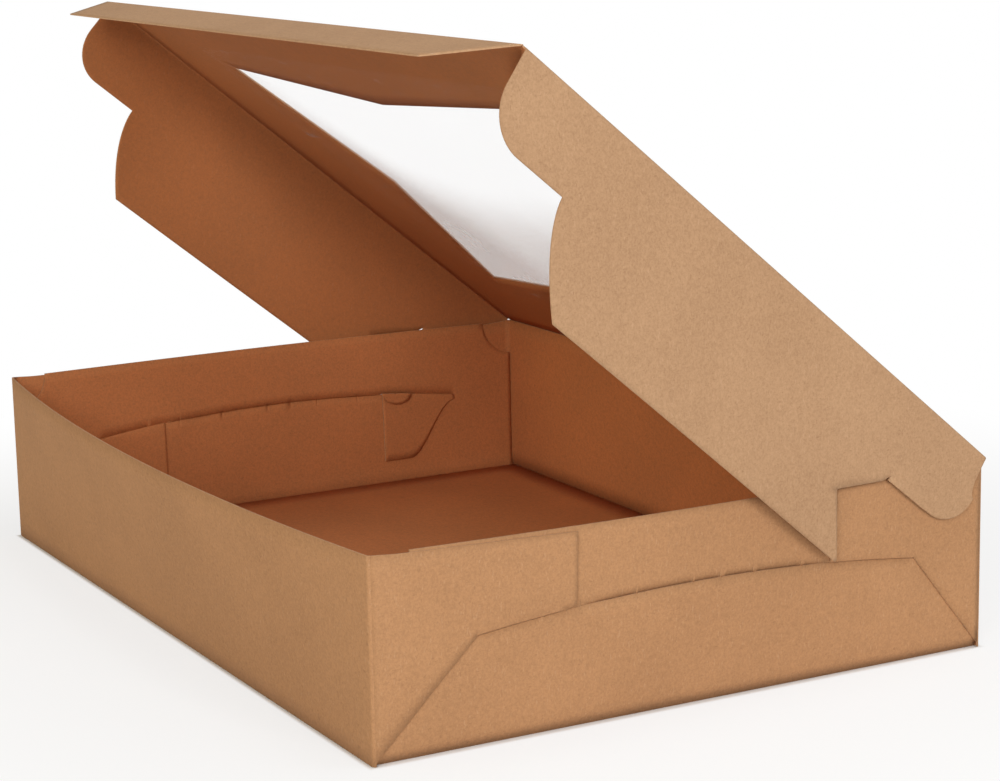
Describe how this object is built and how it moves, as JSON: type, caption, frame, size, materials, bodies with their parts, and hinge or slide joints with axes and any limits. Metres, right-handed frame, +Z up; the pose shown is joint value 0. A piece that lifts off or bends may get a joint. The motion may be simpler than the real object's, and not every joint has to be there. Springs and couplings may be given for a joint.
{
  "type": "brownie box",
  "caption": "Low folded kraft card bakery box with a hinged lid, pinched clear window, splayed side flaps, a short front flap and slit-locked corner tabs.",
  "frame": {"origin": "middle of the flat underside, between the side walls and between the front and rear walls", "axes": "+X across the box, -Y towards the front wall, +Y towards the hinge, +Z up"},
  "size_m": [0.3466, 0.2305, 0.2034],
  "materials": {
    "kraft_card": "uncoated brown kraft card with fine darker fibre flecks, matt",
    "clear_film": "thin clear film, glossy and slightly wavy"
  },
  "bodies": {
    "tray": {"tray": "kraft_card"},
    "lid": {"lid": "kraft_card", "window_film": "clear_film"},
    "front_flap": {"front_flap": "kraft_card"}
  },
  "joints": [
    {"name": "lid_hinge", "type": "hinge", "parent": "tray", "child": "lid", "pos_m": [0, 0.10985, 0.0635], "axis": [-1, 0, 0], "range_deg": [-35, 140.5]},
    {"name": "front_flap_crease", "type": "hinge", "parent": "lid", "child": "front_flap", "pos_m": [0, -0.05991, 0.20344], "axis": [1, 0, 0], "range_deg": [-47, 50]}
  ]
}
